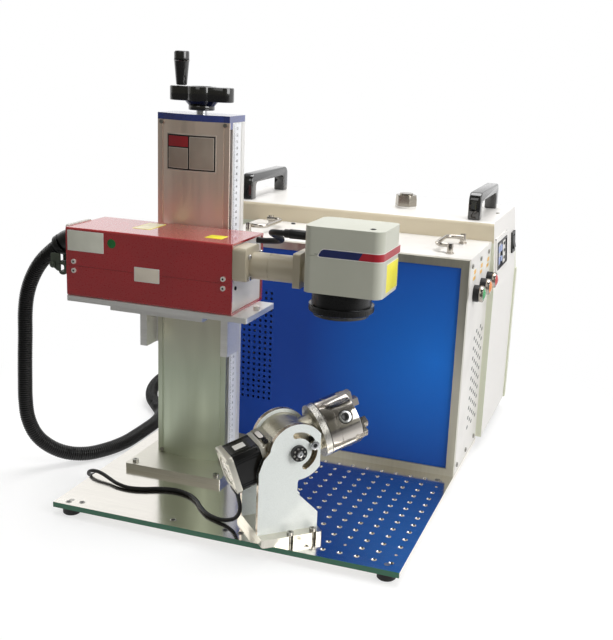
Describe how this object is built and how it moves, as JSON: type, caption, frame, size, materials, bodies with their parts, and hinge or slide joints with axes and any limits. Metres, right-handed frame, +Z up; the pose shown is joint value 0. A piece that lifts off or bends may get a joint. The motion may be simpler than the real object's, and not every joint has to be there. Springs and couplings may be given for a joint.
{
  "type": "laser marking machine",
  "caption": "Bench laser marking machine: lift column with laser box and scan head over a tapped base plate, cabinet, rear case and tilting rotary chuck.",
  "frame": {"origin": "middle of the machine on the surface it stands on, measured without the free cords", "axes": "+Z up, +X to the operator's right, +Y away from the operator towards the rear case"},
  "size_m": [0.7104, 0.8318, 0.6895],
  "materials": {
    "satin_aluminium": "satin",
    "frame_aluminium": "satin",
    "black_rubber": "matte",
    "steel": "machined",
    "polished_steel": "polished",
    "blue_paint": "gloss",
    "panel_blue": "satin",
    "white_paint": "satin powder coat",
    "red_paint": "satin",
    "warm_white": "satin",
    "mint_paint": "satin",
    "black_plastic": "matte",
    "brass": "machined",
    "black_metal": "anodised",
    "lens_glass": "coated",
    "mirror": "polished",
    "green_plastic": "gloss",
    "orange_plastic": "gloss",
    "red_plastic": "gloss",
    "clear_plastic": "gloss",
    "source_grey": "anodised"
  },
  "bodies": {
    "machine": {"base_plate": "satin_aluminium", "rubber_feet": "black_rubber", "machine_screws": "steel", "column_flange": "satin_aluminium", "column_channel": "satin_aluminium", "column_cover": "satin_aluminium", "column_cap": "blue_paint", "guide_rods": "steel", "screw_bearings": "steel", "cabinet_shell": "white_paint", "cabinet_frame": "frame_aluminium", "blue_panel": "panel_blue", "bail_posts": "steel", "button_collars": "black_plastic", "case_shell": "white_paint", "carry_handles": "black_plastic", "case_fittings": "black_plastic", "rotary_base": "satin_aluminium", "rotary_plates": "mint_paint", "umbilical_hose": "black_plastic", "motor_cable": "black_plastic", "hose_gland": "black_plastic"},
    "screw": {"lead_screw": "steel", "crank_handle": "black_plastic"},
    "grip": {"crank_grip": "black_plastic"},
    "carriage": {"slider_block": "satin_aluminium", "screw_nut": "brass", "carriage_bracket": "satin_aluminium", "support_plate": "satin_aluminium", "laser_cover": "red_paint", "laser_tray": "red_paint", "laser_end_plates": "white_paint", "laser_screws": "steel", "laser_module": "source_grey", "beam_block": "satin_aluminium", "beam_tube": "warm_white", "scan_housing": "warm_white", "scan_cover": "warm_white", "galvo_motors": "black_metal", "lens_barrel": "black_metal", "lens_glass": "lens_glass", "scan_cable": "black_plastic", "hose_boot": "black_plastic"},
    "mirror_x": {"scan_mirror_x": "mirror"},
    "mirror_y": {"scan_mirror_y": "mirror"},
    "tilt": {"drum_housing": "polished_steel", "tilt_motor": "black_metal", "tilt_bolts": "black_metal"},
    "chuck": {"chuck_plate": "polished_steel", "chuck_body": "polished_steel"},
    "jaw_a": {"jaw_a": "polished_steel"},
    "jaw_b": {"jaw_b": "polished_steel"},
    "jaw_c": {"jaw_c": "polished_steel"},
    "green_button": {"green_button": "green_plastic"},
    "orange_button": {"orange_button": "orange_plastic"},
    "red_button": {"red_button": "red_plastic"},
    "rocker": {"rocker_switch": "black_plastic"},
    "bail_left": {"bail_left": "polished_steel"},
    "bail_right": {"bail_right": "polished_steel"},
    "filler_cap": {"filler_cap": "clear_plastic"}
  },
  "joints": [
    {"name": "handwheel_turn", "type": "hinge", "parent": "machine", "child": "screw", "pos_m": [-0.12774, -0.14009, 0.6], "axis": [0, 0, 1], "range_deg": [-9001, 14851]},
    {"name": "carriage_lift", "type": "slide", "parent": "machine", "child": "carriage", "axis": [0, 0, 1], "range_m": [-0.1, 0.165], "deforming": ["umbilical_hose"]},
    {"name": "grip_spin", "type": "hinge", "parent": "screw", "child": "grip", "pos_m": [-0.16274, -0.14009, 0.6404], "axis": [0, 0, 1], "continuous": true},
    {"name": "mirror_x_turn", "type": "hinge", "parent": "carriage", "child": "mirror_x", "pos_m": [0.17266, -0.26709, 0.3975], "axis": [1, 0, 0], "range_deg": [-12, 12]},
    {"name": "mirror_y_turn", "type": "hinge", "parent": "carriage", "child": "mirror_y", "pos_m": [0.14266, -0.26709, 0.4115], "axis": [0, 0, 1], "range_deg": [-12, 12]},
    {"name": "rotary_tilt", "type": "hinge", "parent": "machine", "child": "tilt", "pos_m": [0.10496, -0.32649, 0.151], "axis": [0.6829, -0.7305, 0], "range_deg": [-18, 72], "deforming": ["motor_cable"]},
    {"name": "chuck_spin", "type": "hinge", "parent": "tilt", "child": "chuck", "pos_m": [0.10496, -0.32649, 0.151], "axis": [0.6948, 0.6495, 0.309], "continuous": true},
    {"name": "jaw_a_slide", "type": "slide", "parent": "chuck", "child": "jaw_a", "axis": [-0.2257, -0.211, 0.9511], "range_m": [-0.008, 0.012]},
    {"name": "jaw_b_slide", "type": "slide", "parent": "chuck", "child": "jaw_b", "axis": [0.7043, -0.5271, -0.4755], "range_m": [-0.008, 0.012]},
    {"name": "jaw_c_slide", "type": "slide", "parent": "chuck", "child": "jaw_c", "axis": [-0.4785, 0.7382, -0.4755], "range_m": [-0.008, 0.012]},
    {"name": "green_press", "type": "slide", "parent": "machine", "child": "green_button", "axis": [-1, 0, 0], "range_m": [0, 0.0025], "stiffness_N_per_m": 400, "springref_m": -0.002},
    {"name": "orange_press", "type": "slide", "parent": "machine", "child": "orange_button", "axis": [-1, 0, 0], "range_m": [0, 0.0025], "stiffness_N_per_m": 400, "springref_m": -0.002},
    {"name": "red_press", "type": "slide", "parent": "machine", "child": "red_button", "axis": [-1, 0, 0], "range_m": [0, 0.0025], "stiffness_N_per_m": 400, "springref_m": -0.002},
    {"name": "rocker_tip", "type": "hinge", "parent": "machine", "child": "rocker", "pos_m": [0.30197, 0.36301, 0.355], "axis": [0, 1, 0], "range_deg": [0, 14]},
    {"name": "bail_left_fold", "type": "hinge", "parent": "machine", "child": "bail_left", "pos_m": [-0.10374, 0.05121, 0.4], "axis": [0, -1, 0], "range_deg": [0, 180]},
    {"name": "bail_right_fold", "type": "hinge", "parent": "machine", "child": "bail_right", "pos_m": [0.25326, 0.05121, 0.4], "axis": [0, 1, 0], "range_deg": [0, 180]},
    {"name": "cap_unscrew", "type": "hinge", "parent": "machine", "child": "filler_cap", "pos_m": [0.11426, 0.23921, 0.421], "axis": [0, 0, 1], "range_deg": [0, 900]}
  ],
  "couplings": [
    {"joint": "handwheel_turn", "follows": "carriage_lift", "rad_per_m": 1570.8},
    {"joint": "jaw_b_slide", "follows": "jaw_a_slide", "ratio": 1},
    {"joint": "jaw_c_slide", "follows": "jaw_a_slide", "ratio": 1}
  ]
}
